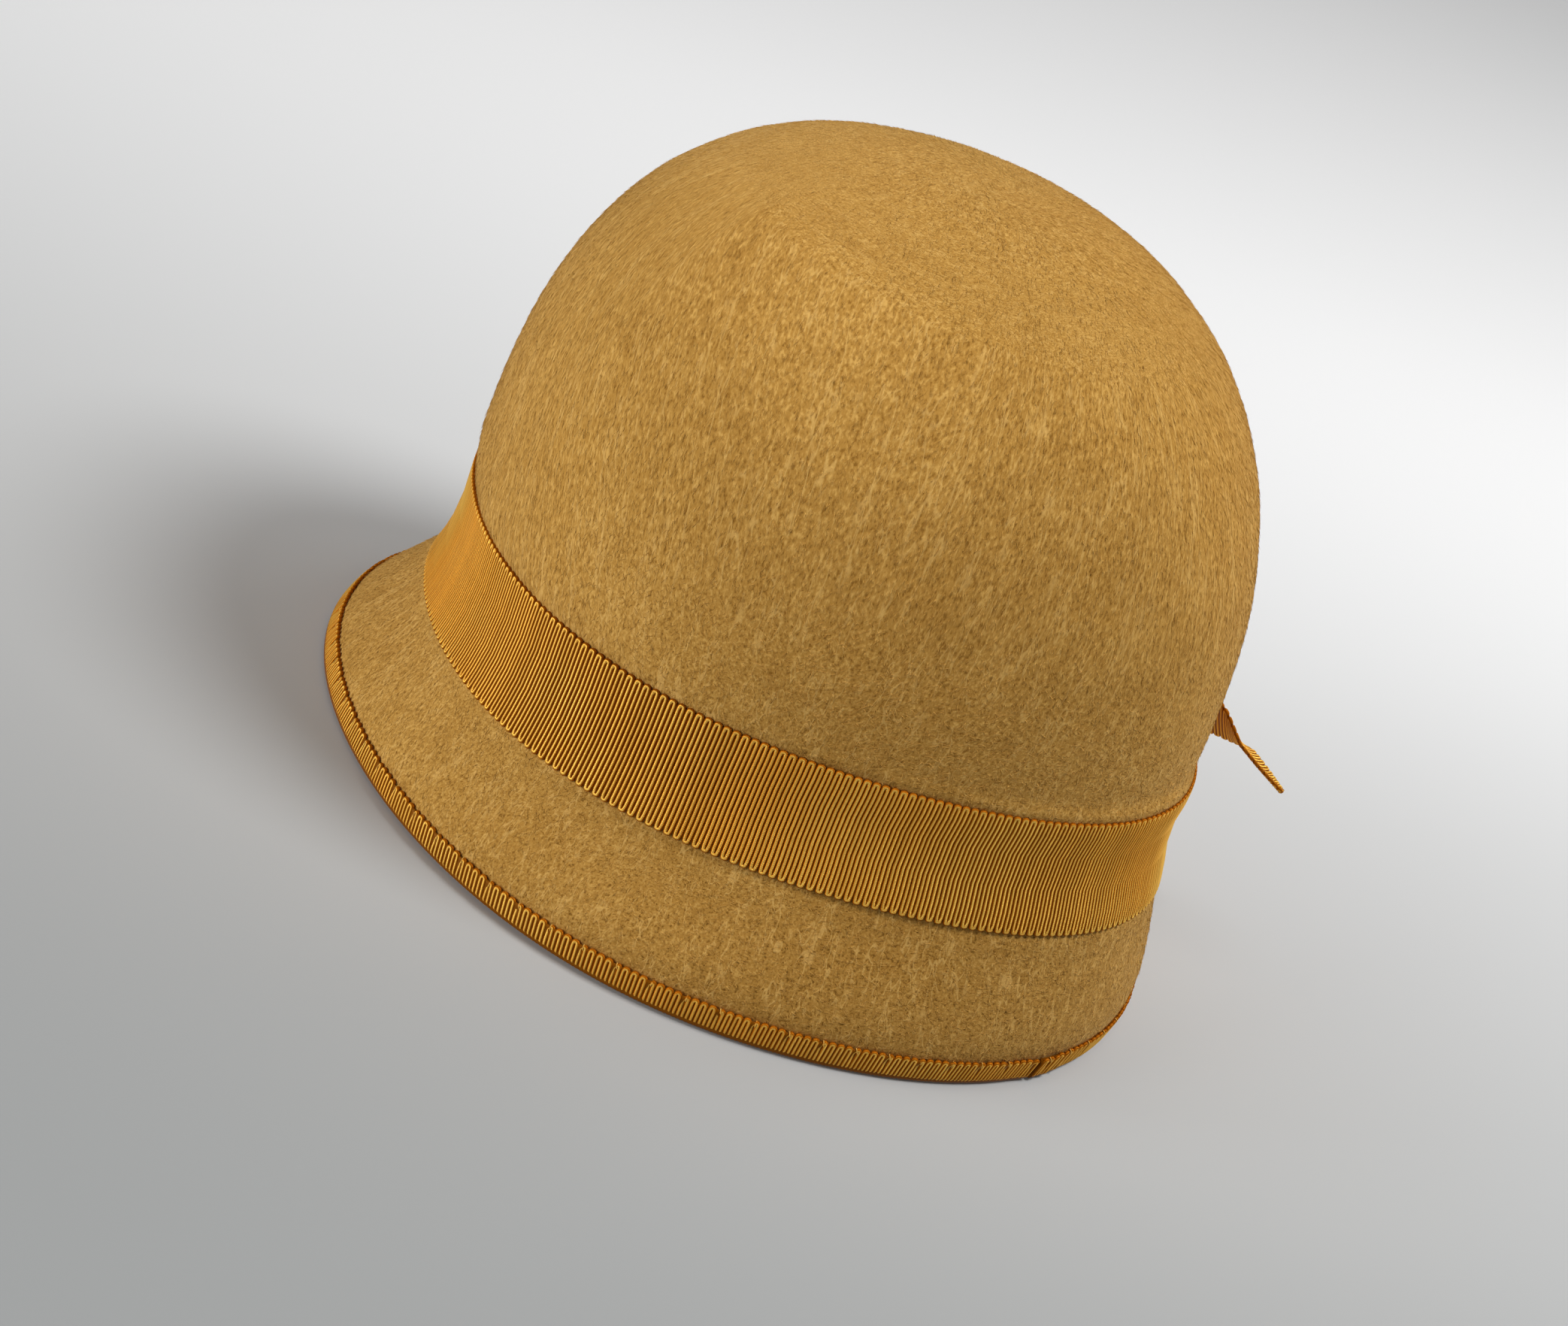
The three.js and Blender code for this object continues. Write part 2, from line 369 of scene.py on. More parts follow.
feltColours = ("Body", "Pale", "Deep", "PitAndShade", "Strand")


# Stray strands: broken contour lines of a noise, so that they curl
def strandLines(tree, place, size):
    field = noiseValue(tree, place, 1 / (size * mm), 1.0)
    apart = calc(tree, "ABSOLUTE", calc(tree, "SUBTRACT", field, 0.5))
    aside = vectorCalc(tree, "ADD", place, feltTone["strandAside"])
    shown = ramp(tree, noiseValue(tree, aside, 0.5 / (size * mm), 1.0), *feltTone["strandShown"])
    return calc(tree, "MULTIPLY", ramp(tree, apart, *feltTone["strandLine"]), shown)


def makeFeltGroup():
    inputs = {**{name: "Color" for name in feltColours}, "PitsAndShade": "Float"}
    outputs = {"Colour": "Color", "Height": "Float"}
    group, given, result = newGroup("feltTone", "ShaderNodeTree", inputs, outputs)
    place = shaderAttribute(group, "combPlace")
    sizes = ("blotchSize", "mottleSize", "tuftSize")
    blotch, mottle, tuft = (noiseValue(group, place, 1 / (feltTone[key] * mm)) for key in sizes)
    grain = noiseValue(group, place, 1 / (feltTone["grainSize"] * mm), 2.0, feltTone["grainRoughness"])
    height = calc(group, "MULTIPLY_ADD", tuft, feltTone["tuftShare"], grain)
    shade = calc(group, "MULTIPLY_ADD", blotch, feltTone["blotchShare"], height)
    shade = calc(group, "MULTIPLY_ADD", mottle, feltTone["mottleShare"], shade)
    base = mixColour(group, ramp(group, shade, *feltTone["paleFrom"]), given["Body"], given["Pale"])
    base = mixColour(group, ramp(group, shade, *feltTone["deepFrom"]), base, given["Deep"])
    # low down, where the comb is lost, the felt is pitted, and painted shade darkens it all over
    base = mixColour(group, calc(group, "MULTIPLY", given["PitsAndShade"], feltTone["paintedShade"]), base, given["PitAndShade"])
    hole = calc(group, "MULTIPLY", ramp(group, height, *feltTone["pitFrom"]), given["PitsAndShade"])
    base = mixColour(group, hole, base, given["PitAndShade"])
    drawn = vectorCalc(group, "MULTIPLY", place, (1.0, 1.0, feltTone["strandDraw"]))
    strands = calc(group, "MAXIMUM", *(strandLines(group, drawn, size) for size in feltTone["strandSizes"]))
    base = mixColour(group, calc(group, "MULTIPLY", strands, feltTone["strandMix"]), base, given["Strand"])
    feed(group, result["Colour"], base)
    feed(group, result["Height"], calc(group, "MULTIPLY_ADD", strands, feltTone["strandHeight"], height))
    return group


feltGroup = makeFeltGroup()


def feltNode(tree, pitsAndShade):
    inputs = {**{name: feltTone[name] for name in feltColours}, "PitsAndShade": pitsAndShade}
    return addNode(tree, "ShaderNodeGroup", inputs, node_tree=feltGroup).outputs


def makeFelt():
    material, tree, shader = newMaterial("camelFelt")
    # real pits, and painted shade low down, from the hood's points
    tone = feltNode(tree, shaderAttribute(tree, "pitAndShadeAmount", "Fac"))
    feed(tree, shader.inputs["Base Color"], tone["Colour"])
    bump = bumped(tree, tone["Height"], feltTone["bump"], feltTone["bumpDepth"])
    feed(tree, shader.inputs["Normal"], bump)
    setShader(shader, {"Roughness": 0.95, "Specular IOR Level": 0.1, "Sheen Weight": 0.12})
    setShader(shader, {"Sheen Roughness": 0.5, "Sheen Tint": colour(255, 226, 166)})
    return material


def makeNap():
    material, tree, shader = newMaterial("woolNap")
    tone = feltNode(tree, 0.0)
    light = calc(tree, "MULTIPLY", shaderAttribute(tree, "tone", "Fac"), feltTone["fibreMix"])
    feed(tree, shader.inputs["Base Color"], mixColour(tree, light, tone["Colour"], feltTone["fibre"]))
    setShader(shader, {"Roughness": 0.5, "Specular IOR Level": 0.4, "Specular Tint": colour(255, 220, 150)})
    return material


# Ribbon colour, shared by the ribs and the ground behind them
ribbonTone = {
    "ribs": ((250, 170, 54), (255, 218, 108), (172, 97, 14), (122, 67, 6)),  # body, pale for the painted highlight, deep for the painted shade, dull
    # the ground's darker browns: partly its own colour, partly painted shade of the gaps between the ribs
    "ground": ((138, 82, 14), (146, 90, 18), (124, 70, 8), (124, 70, 8)),
    "ribMetallic": 0.48,
    "shadeSize": 30.0,
    "shadeDetail": 3.0,
    "crestFrom": (0.76, 0.985),  # how squarely a rib faces out where the body colour starts over the painted shade of its sides, and where it is full
    "gleamFrom": (0.86, 0.99),  # the same for the painted highlight along the crest
    "gleamShade": (0.3, 0.7),  # shade where that line is weakest, and where it is strongest
    "gleamLeast": 0.45,
    "gleamMore": 0.3,
    "dullMost": 0.25,  # how much duller one rib may be than the next
    "beadPitch": 0.45,
    "beadDepth": 0.06,
    "bump": 0.35,
}
ribbonColours = ("Body", "Pale", "Deep", "Dull")


def makeRibbonGroup():
    inputs = {name: "Color" for name in ribbonColours}
    outputs = {"Colour": "Color", "Shine": "Float", "Height": "Float"}
    group, given, result = newGroup("ribbonTone", "ShaderNodeTree", inputs, outputs)
    place = addNode(group, "ShaderNodeTexCoord").outputs["Object"]
    split = addNode(group, "ShaderNodeSeparateXYZ", {0: shaderAttribute(group, "ribbonPlace")}).outputs
    shade = noiseValue(group, place, 1 / (ribbonTone["shadeSize"] * mm), ribbonTone["shadeDetail"])
    ribNoise = addNode(group, "ShaderNodeTexWhiteNoise", {"W": split[2]}, noise_dimensions="1D")
    # painted highlight over the crest of each rib and painted shade down its sides
    normal = addNode(group, "ShaderNodeNewGeometry").outputs["Normal"]
    face = nodeOut(group, "ShaderNodeVectorTransform", {0: shaderAttribute(group, "ribFace")},
                   vector_type="NORMAL", convert_from="OBJECT", convert_to="WORLD")
    crest = calc(group, "ABSOLUTE", vectorValue(group, "DOT_PRODUCT", normal, face))
    base = mixColour(group, ramp(group, crest, *ribbonTone["crestFrom"]), given["Deep"], given["Body"])
    strength = ramp(group, shade, *ribbonTone["gleamShade"])
    strength = calc(group, "MULTIPLY_ADD", strength, ribbonTone["gleamMore"], ribbonTone["gleamLeast"])
    gleam = calc(group, "MULTIPLY", ramp(group, crest, *ribbonTone["gleamFrom"]), strength)
    base = mixColour(group, gleam, base, given["Pale"])
    dull = calc(group, "MULTIPLY", ribNoise.outputs["Value"], ribbonTone["dullMost"])
    feed(group, result["Colour"], mixColour(group, dull, base, given["Dull"]))
    feed(group, result["Shine"], calc(group, "SUBTRACT", 1.0, dull))
    # fine beads where the warp crosses each rib, staggered from rib to rib
    half = calc(group, "MULTIPLY", split[2], math.pi)
    turns = calc(group, "MULTIPLY_ADD", split[1], 2 * math.pi / (ribbonTone["beadPitch"] * mm), half)
    feed(group, result["Height"], calc(group, "SINE", turns))
    return group


ribbonGroup = makeRibbonGroup()


def makeRibbon(name, tones, metallic, anisotropic):
    material, tree, shader = newMaterial(name)
    inputs = {label: colour(*tone) for label, tone in zip(ribbonColours, tones)}
    tone = addNode(tree, "ShaderNodeGroup", inputs, node_tree=ribbonGroup).outputs
    feed(tree, shader.inputs["Base Color"], tone["Colour"])
    bump = bumped(tree, tone["Height"], ribbonTone["bump"], ribbonTone["beadDepth"])
    feed(tree, shader.inputs["Normal"], bump)
    feed(tree, shader.inputs["Tangent"], shaderAttribute(tree, "ribAxis"))
    if metallic > 0:
        feed(tree, shader.inputs["Metallic"], calc(tree, "MULTIPLY", tone["Shine"], metallic))
    setShader(shader, {"Roughness": 0.4, "Specular IOR Level": 0.15, "Anisotropic": anisotropic,
                       "Specular Tint": colour(255, 190, 90)})
    return material


feltMaterial = makeFelt()
napMaterial = makeNap()
ribMaterial = makeRibbon("goldRibs", ribbonTone["ribs"], ribbonTone["ribMetallic"], anisotropic=1.0)
groundMaterial = makeRibbon("ribbonGround", ribbonTone["ground"], metallic=0.0, anisotropic=0.0)
threadMaterial, _, threadShader = newMaterial("sewingThread")
setShader(threadShader, {"Base Color": colour(214, 164, 70), "Roughness": 0.55, "Specular IOR Level": 0.3})
print("materials made")


# Geometry Nodes: a tree with named inputs, run once on a guide and kept as a plain mesh
def newTree(name, inputs):
    return newGroup(name, "GeometryNodeTree", {"Geometry": "Geometry", **inputs}, {"Geometry": "Geometry"})


def closeTree(tree, geometry, material, result):
    real = nodeOut(tree, "GeometryNodeRealizeInstances", {"Geometry": geometry})
    smooth = nodeOut(tree, "GeometryNodeSetShadeSmooth", {"Geometry": real})
    dressed = nodeOut(tree, "GeometryNodeSetMaterial", {"Geometry": smooth, "Material": material})
    feed(tree, result["Geometry"], dressed)


def runTree(name, guide, tree, values):
    modifier = guide.modifiers.new("build", "NODES")
    modifier.node_group = tree
    for item in tree.interface.items_tree:
        if item.in_out == "INPUT" and item.name in values:
            modifier[item.identifier] = values[item.name]
    bpy.context.view_layer.update()
    graph = bpy.context.evaluated_depsgraph_get()
    mesh = bpy.data.meshes.new_from_object(guide.evaluated_get(graph))
    mesh.name = name
    guide.modifiers.remove(modifier)
    piece = bpy.data.objects.new(name, mesh)
    bpy.context.scene.collection.objects.link(piece)
    print(name, len(mesh.polygons), "faces")
    return piece


def named(tree, name, kind="FLOAT_VECTOR"):
    node = addNode(tree, "GeometryNodeInputNamedAttribute", {"Name": name}, data_type=kind)
    return node.outputs["Attribute"]


def keepNamed(tree, geometry, name, value, kind="FLOAT_VECTOR"):
    inputs = {"Geometry": geometry, "Name": name, "Value": value}
    return nodeOut(tree, "GeometryNodeStoreNamedAttribute", inputs, data_type=kind, domain="POINT")


def sampleGuide(tree, guide, kind, place):
    inputs = {"Mesh": guide, "Value": nodeOut(tree, kind), "UV Map": named(tree, "guide"), "Sample UV": place}
    return addNode(tree, "GeometryNodeSampleUVSurface", inputs, data_type="FLOAT_VECTOR").outputs["Value"]


def randomValue(tree, low, high, seed):
    inputs = {2: low, 3: high, "Seed": seed}
    return addNode(tree, "FunctionNodeRandomValue", inputs, data_type="FLOAT").outputs[1]


# Turned so that the main axis points one way, and the other as near as it can to the second
def aimed(tree, mainAxis, main, otherAxis, other):
    turned = nodeOut(tree, "FunctionNodeAlignRotationToVector", {"Vector": main}, axis=mainAxis)
    return nodeOut(tree, "FunctionNodeAlignRotationToVector", {"Rotation": turned, "Vector": other},
                   axis=otherAxis, pivot_axis=mainAxis)


def tubeAlong(tree, curve, sides, radius):
    ring = nodeOut(tree, "GeometryNodeCurvePrimitiveCircle", {"Resolution": sides, "Radius": radius})
    inputs = {"Curve": curve, "Profile Curve": ring, "Fill Caps": True}
    return nodeOut(tree, "GeometryNodeCurveToMesh", inputs)


# Ribs: what all ribbons share, where a piece gives nothing else
ribForm = {
    "pitch": 1.1,
    "radius": 0.57,
    "sides": 8,
    "bend": 0.31,  # how far a rib leans to the next one at its loops, in ribs
    "bendPower": 6.2,
    "edgePower": 3.15,  # how the points crowd into the loops
    "halfWidth": 0.4985,  # of the guide, a little in, so that each point falls on it
    "wander": 0.12,  # unevenness, in ribs
    "wanderStep": 0.31,  # how far the noise behind it moves from rib to rib
    "pullEvery": 1000.0,  # ribs from one sewn loop to the next
    "pullDepth": 0.0,  # how far it is drawn down, as a share of the width
    "pullSink": 0.0,  # how far it is drawn in
    "pullFirst": 2.0,  # ribs before the first one
    "pullReach": 1.2,  # ribs to either side that go with it
    "pullFrom": (0.72, 0.98),  # places across the ribbon where the pull starts, and where it is full
}


# One thread laid to and fro across a guide, turning back in a round loop at each edge
def makeRibTree():
    floats = ("Radius", "Length", "Width", "Bend", "Bend Power", "Edge Power", "Wander",
              "Pull Every", "Pull Depth", "Pull Sink")
    inputs = {"Ribs": "Int", "Points": "Int", "Sides": "Int"}
    inputs.update({name: "Float" for name in floats})
    tree, given, result = newTree("ribsAcross", {**inputs, "Material": "Material"})
    count = calc(tree, "MULTIPLY", given["Ribs"], given["Points"])
    line = nodeOut(tree, "GeometryNodeMeshLine", {"Count": count, "Offset": (mm, 0, 0)})
    curve = nodeOut(tree, "GeometryNodeMeshToCurve", {"Mesh": line})
    index = nodeOut(tree, "GeometryNodeInputIndex")
    rib = calc(tree, "FLOOR", calc(tree, "DIVIDE", calc(tree, "ADD", index, 0.5), given["Points"]))
    step = calc(tree, "SUBTRACT", index, calc(tree, "MULTIPLY", rib, given["Points"]))
    share = calc(tree, "DIVIDE", step, calc(tree, "SUBTRACT", given["Points"], 1.0))
    swing = calc(tree, "MULTIPLY_ADD", share, 2.0, -1.0)  # -1 where the rib starts, 1 where it ends
    far, way = calc(tree, "ABSOLUTE", swing), calc(tree, "SIGN", swing)
    edge = calc(tree, "POWER", calc(tree, "SUBTRACT", 1.0, far), given["Edge Power"])
    edge = calc(tree, "MULTIPLY", edge, 0.5)
    odd = calc(tree, "MODULO", rib, 2.0)
    flip = calc(tree, "MULTIPLY_ADD", odd, -2.0, 1.0)
    rise = calc(tree, "SUBTRACT", ribForm["halfWidth"], edge)
    rise = calc(tree, "MULTIPLY", calc(tree, "MULTIPLY", way, flip), rise)
    across = calc(tree, "ADD", rise, 0.5)
    bend = calc(tree, "MULTIPLY", way, given["Bend"])
    bend = calc(tree, "MULTIPLY", bend, calc(tree, "POWER", far, given["Bend Power"]))
    stray = combined(tree, calc(tree, "MULTIPLY", rib, ribForm["wanderStep"]), across)
    stray = calc(tree, "SUBTRACT", noiseValue(tree, stray, 1.0, 1.0), 0.5)
    stray = calc(tree, "MULTIPLY", stray, given["Wander"])
    along = calc(tree, "ADD", calc(tree, "ADD", rib, 0.5), calc(tree, "ADD", bend, stray))
    along = calc(tree, "DIVIDE", along, given["Ribs"])
    # a sewn loop is drawn down and in at even steps along the upper edge
    near = calc(tree, "SUBTRACT", calc(tree, "MODULO", rib, given["Pull Every"]), ribForm["pullFirst"])
    pull = ramp(tree, calc(tree, "ABSOLUTE", near), ribForm["pullReach"], 0.0)
    pull = calc(tree, "MULTIPLY", pull, ramp(tree, across, *ribForm["pullFrom"]))
    across = calc(tree, "SUBTRACT", across, calc(tree, "MULTIPLY", pull, given["Pull Depth"]))
    place = combined(tree, along, across)
    seat = sampleGuide(tree, given["Geometry"], "GeometryNodeInputPosition", place)
    out = sampleGuide(tree, given["Geometry"], "GeometryNodeInputNormal", place)
    sink = scaled(tree, out, calc(tree, "MULTIPLY", pull, given["Pull Sink"]))
    seat = vectorCalc(tree, "SUBTRACT", seat, sink)
    curve = nodeOut(tree, "GeometryNodeSetPosition", {"Geometry": curve, "Position": seat})
    reach = calc(tree, "MULTIPLY", along, given["Length"])
    ribbon = combined(tree, reach, calc(tree, "MULTIPLY", across, given["Width"]), rib)
    curve = keepNamed(tree, curve, "ribbonPlace", ribbon)
    curve = keepNamed(tree, curve, "ribAxis", nodeOut(tree, "GeometryNodeInputTangent"))
    curve = keepNamed(tree, curve, "ribFace", out)
    closeTree(tree, tubeAlong(tree, curve, given["Sides"], given["Radius"]), given["Material"], result)
    return tree


ribTree = makeRibTree()


def ribCount(length):
    return 2 * int(round(length / ribForm["pitch"] / 2))


def layRibs(name, guide, length, width, points, **changes):
    rib = {**ribForm, **changes}
    values = {"Ribs": ribCount(length), "Points": points, "Sides": rib["sides"], "Radius": rib["radius"] * mm,
              "Length": length * mm, "Width": width * mm, "Bend": rib["bend"], "Bend Power": rib["bendPower"],
              "Edge Power": rib["edgePower"], "Wander": rib["wander"], "Pull Every": rib["pullEvery"],
              "Pull Depth": rib["pullDepth"], "Pull Sink": rib["pullSink"] * mm, "Material": ribMaterial}
    piece = runTree(name, guide, ribTree, values)
    guideMesh = guide.data
    bpy.data.objects.remove(guide)
    bpy.data.meshes.remove(guideMesh)
    return piece


# Felt hood: fine outer face with the unevenness of hand blocking, plain inner face, closed at the rim
hood = {
    "wall": 2.2,
    "columns": 320,
    "rowStep": 1.6,
    "innerStep": 5.0,
    "lumpHeight": 0.3,
    "lumpSize": 34.0,
    "lumpOctaves": 2,
    "dentHeight": 0.07,
    "dentSize": 7.0,
    "dentOctaves": 3,
    "clumpSteps": (0.6, 2.0),  # how each octave weakens, and how much finer it is
    "evenRim": 0.8,  # levels over which the unevenness comes in, above the binding's grip
    "swell": 0.35,  # how far the felt stands up just above and below the band
    "swellAbove": (0.35, 0.3),  # levels past the band where it is highest, and its half width
    "swellBelow": (0.12, 0.1),
    "swellBelowShare": 0.6,
    "press": 0.15,  # how far the band presses into it
    "whorl": (70.0, 5.72, 0.25),  # degrees that the nap swirls at the top, from which level, over how many
    "napClear": 0.02,  # levels past the band that stay bare
    "napLowest": 8.5,  # height of the lowest fibres, above the binding
    "pitAndShadeFade": 1.6,  # levels above the band over which the pits and the painted shade go
    "pitAndShadeLeast": 0.2,
    "pitAndShadeAhead": 0.3,  # share of them in front
    "pitAndShadeInside": 0.4,
    "patternRadius": 95.0,
    "patternTop": 166.0,  # height where the pattern stops following the comb
    "patternFade": 16.0,
    "patternJoin": (203.0, 168.0),  # its way up the felt there, and the height that it has
    "patternReach": 300.0,
}


def clumps(points, size, octaves):
    weaken, refine = hood["clumpSteps"]
    values = [noise.fractal(Vector(p), weaken, refine, octaves) for p in points.reshape(-1, 3) / size]
    return np.array(values).reshape(points.shape[:-1])


def hoodOutside(level, points):
    lumps = hood["lumpHeight"] * clumps(points, hood["lumpSize"], hood["lumpOctaves"])
    lumps = lumps + hood["dentHeight"] * clumps(points, hood["dentSize"], hood["dentOctaves"])
    (upper, upperWide), (lower, lowerWide) = hood["swellAbove"], hood["swellBelow"]
    free = 1 - np.exp(-((level / hood["evenRim"]) ** 2))
    above = np.exp(-(((level - bandHead - upper) / upperWide) ** 2))
    below = np.exp(-(((level - bandFoot + lower) / lowerWide) ** 2))
    held = ((level > bandFoot) & (level < bandHead)).astype(float)
    raised = lumps + hood["swell"] * (above + hood["swellBelowShare"] * below)
    return raised * free * (1 - held) - hood["press"] * held


def fromFront(turn):
    return np.degrees(np.abs(np.arctan2(np.sin(turn), np.cos(turn))))


# The comb is lost low down, from the side round to the back
def combLost(turn):
    start, over = feltTone["combLost"]
    return np.clip((fromFront(turn) - start) / over, 0, 1)


def combLean(turn):
    return np.sign(np.sin(turn)) * np.interp(fromFront(turn), *feltTone["combLean"])


# Height drawn out along the comb, counted from where the pattern passes into plain coordinates
def drawnRise(rise, heights):
    fine = np.linspace(0, hood["patternReach"], form["fineSteps"] + 1)
    drawn = 1 - (1 - feltTone["combDraw"]) * np.clip((fine - heights[0]) / (heights[1] - heights[0]), 0, 1)
    run = np.cumsum(drawn) * (fine[1] - fine[0])
    joinRise, joinHeight = hood["patternJoin"]
    return np.interp(rise, fine, run) - np.interp(joinRise, fine, run) + joinHeight


# Where a point lies for the felt's pattern: round a plain cylinder and up the felt, drawn out along
# the comb, passing into plain coordinates over the top of the crown
def combPlace(points):
    turn = np.arctan2(points[:, 0], -points[:, 1])
    radius = np.hypot(points[:, 0], points[:, 1])
    drum = hood["patternRadius"]
    rise = points[:, 2] + np.maximum(drum - radius, 0.0)
    behind = combLost(turn)
    drawn = drawnRise(rise, feltTone["combFrom"]) * behind
    drawn = drawn + drawnRise(rise, feltTone["combFromAhead"]) * (1 - behind)
    turn = turn + combLean(turn) * np.maximum(rise - feltTone["combFromAhead"][0], 0) / drum
    wall = np.stack([drum * np.sin(turn), -drum * np.cos(turn), drawn], -1)
    top = np.clip((points[:, 2] - hood["patternTop"]) / hood["patternFade"], 0, 1)[:, None]
    top = top * top * (3 - 2 * top)
    return (wall * (1 - top) + points * top) * mm


# Values on the hood's outer face, and one value for all its other points
def hoodAttribute(piece, name, values, rest):
    rest = np.asarray(rest, float)
    values = values.reshape(-1, *rest.shape)
    spare = len(piece.data.vertices) - len(values)
    pointAttribute(piece, name, np.concatenate([values, np.broadcast_to(rest, (spare, *rest.shape))]))


def makeHood():
    turns = np.linspace(0, 2 * math.pi, hood["columns"], endpoint=False)
    outerLevels = evenLevels(rimLevel, apex, hood["rowStep"])[:-1]
    innerLevels = evenLevels(rimLevel, apex, hood["innerStep"])[:-1]
    turn, level = np.meshgrid(turns, outerLevels)
    plain = facePoint(turn, level)
    outer = feltPoint(turn, level, hoodOutside(level, plain))
    outer[0, :, 2] = rimHeight
    turnIn, levelIn = np.meshgrid(turns, innerLevels)
    inner = feltPoint(turnIn, levelIn, -hood["wall"])
    inner[0, :, 2] = rimHeight
    columns, rows, rowsIn = len(turns), len(outerLevels), len(innerLevels)
    top = sections[-1][0] + form["domeHeight"]
    poles = np.array([[0, 0, top], [0, 0, top - hood["wall"]]])
    start = rows * columns
    outerPole = start + rowsIn * columns
    faces = gridFaces(rows, columns, wrap=True) + gridFaces(rowsIn, columns, start, wrap=True, flip=True)
    for c in range(columns):
        n = (c + 1) % columns
        faces.append([start - columns + c, start - columns + n, outerPole])
        faces.append([outerPole - columns + n, outerPole - columns + c, outerPole + 1])
        faces.append([n, c, start + c, start + n])
    points = np.concatenate([outer.reshape(-1, 3), inner.reshape(-1, 3), poles])
    piece = newPiece("feltHood", toFrame(points), faces, feltMaterial)
    around, upward, _ = faceAxes(turn, level)
    swirls, swirlFrom, swirlOver = hood["whorl"]
    whorl = np.radians(swirls) * np.clip((level - swirlFrom) / swirlOver, 0, 1) ** 2
    swirl = around * (np.sin(whorl) + combLean(turn))[..., None]
    comb = -upward * np.cos(whorl)[..., None] + swirl
    clear = hood["napClear"]
    bandGap = (level > bandFoot - clear) & (level < bandHead + clear)
    amount = np.where(bandGap | (plain[..., 2] < hood["napLowest"]), 0.0, 1.0)
    low, high = feltTone["combFrom"]
    astray = np.clip((high - plain[..., 2]) / (high - low), 0, 1) * combLost(turn)
    # pits and painted shade: full up to the band, fading above it, weaker in front, some inside
    pitsAndShade = np.clip(1.0 - (level - bandHead) / hood["pitAndShadeFade"], hood["pitAndShadeLeast"], 1.0)
    pitsAndShade = pitsAndShade * (hood["pitAndShadeAhead"] + (1 - hood["pitAndShadeAhead"]) * combLost(turn))
    pointAttribute(piece, "combPlace", combPlace(points))
    hoodAttribute(piece, "comb", comb, (0.0, 0.0, 1.0))
    hoodAttribute(piece, "napAmount", amount, 0.0)
    hoodAttribute(piece, "napSpread", astray, 0.0)
    hoodAttribute(piece, "pitAndShadeAmount", pitsAndShade, hood["pitAndShadeInside"])
    print("feltHood", len(faces), "faces")
    return piece


feltHood = makeHood()

# Nap: loose wool fibres combed down the hood, in lots so that no piece is too heavy
nap = {
    "lots": 2,
    "density": 400000.0,  # fibres on a square metre, in each lot
    "radius": 0.07,  # at the root
    "thickness": (0.6, 1.25),  # shares of that, from one fibre to another
    "length": (0.8, 2.4),
    "lift": (2.0, 14.0),  # degrees off the felt
    "spread": 22.0,  # degrees to either side of the comb
    "stray": 120.0,  # the same where the comb is lost
    "seed": 41,
}


def makeNapTree():
    floats = ("Density", "Radius", "Shortest", "Longest", "Spread", "Stray", "Lowest", "Highest")
    inputs = {name: "Float" for name in floats}
    tree, given, result = newTree("combedNap", {**inputs, "Seed": "Int", "Material": "Material"})
    density = calc(tree, "MULTIPLY", named(tree, "napAmount", "FLOAT"), given["Density"])
    scatter = addNode(tree, "GeometryNodeDistributePointsOnFaces",
                      {"Mesh": given["Geometry"], "Density": density, "Seed": given["Seed"]})
    comb, out = named(tree, "comb"), scatter.outputs["Normal"]
    side = vectorCalc(tree, "CROSS_PRODUCT", out, comb)
    lost = named(tree, "napSpread", "FLOAT")
    spread = nodeOut(tree, "ShaderNodeMix", {"Factor": lost, 2: given["Spread"], 3: given["Stray"]},
                     data_type="FLOAT")
    drift = calc(tree, "MULTIPLY", randomValue(tree, -1.0, 1.0, seed=3), spread)
    lift = randomValue(tree, given["Lowest"], given["Highest"], seed=5)
    way = vectorCalc(tree, "ADD", scaled(tree, comb, calc(tree, "COSINE", drift)),
                     scaled(tree, side, calc(tree, "SINE", drift)))
    way = vectorCalc(tree, "ADD", way, scaled(tree, out, calc(tree, "TANGENT", lift)))
    long = randomValue(tree, given["Shortest"], given["Longest"], seed=7)
    thick = randomValue(tree, *nap["thickness"], seed=9)
    size = combined(tree, thick, thick, long)
    points = keepNamed(tree, scatter.outputs["Points"], "tone", randomValue(tree, 0.0, 1.0, seed=11), "FLOAT")
    cone = {"Vertices": 3, "Radius Top": 0.0, "Radius Bottom": given["Radius"], "Depth": 1.0}
    fibre = nodeOut(tree, "GeometryNodeMeshCone", cone)
    aim = aimed(tree, "Z", way, "Y", out)
    fibres = nodeOut(tree, "GeometryNodeInstanceOnPoints",
                     {"Points": points, "Instance": fibre, "Rotation": aim, "Scale": size})
    closeTree(tree, fibres, given["Material"], result)
    return tree


napTree = makeNapTree()
napPieces = []
for lot in range(nap["lots"]):
    shortest, longest = (length * mm for length in nap["length"])
    lowest, highest = (math.radians(degrees) for degrees in nap["lift"])
    spread, stray = math.radians(nap["spread"]), math.radians(nap["stray"])
    values = {"Density": nap["density"], "Radius": nap["radius"] * mm, "Shortest": shortest,
              "Longest": longest, "Spread": spread, "Stray": stray, "Lowest": lowest, "Highest": highest,
              "Seed": nap["seed"] + lot, "Material": napMaterial}
    napPieces.append(runTree(f"feltNap{lot + 1}", feltHood, napTree, values))

# Band: a ribbon round the waist of the hood, its ends meeting under the knot
band = {
    "columns": 361,
    "rows": 15,
    "points": 10,
    "joint": 258.0,  # degrees round from the front
    "jointGap": 0.6,
    "near": 0.3,  # the ground's inner and outer faces, and the ribs' middle, outside the felt
    "far": 0.9,
    "ribs": 0.77,
    "inset": 0.03,  # share of its width that the ground keeps inside the ribs' loops
    "droop": 0.3,  # how far both edges lie down on the felt
    "droopPower": 6,
}


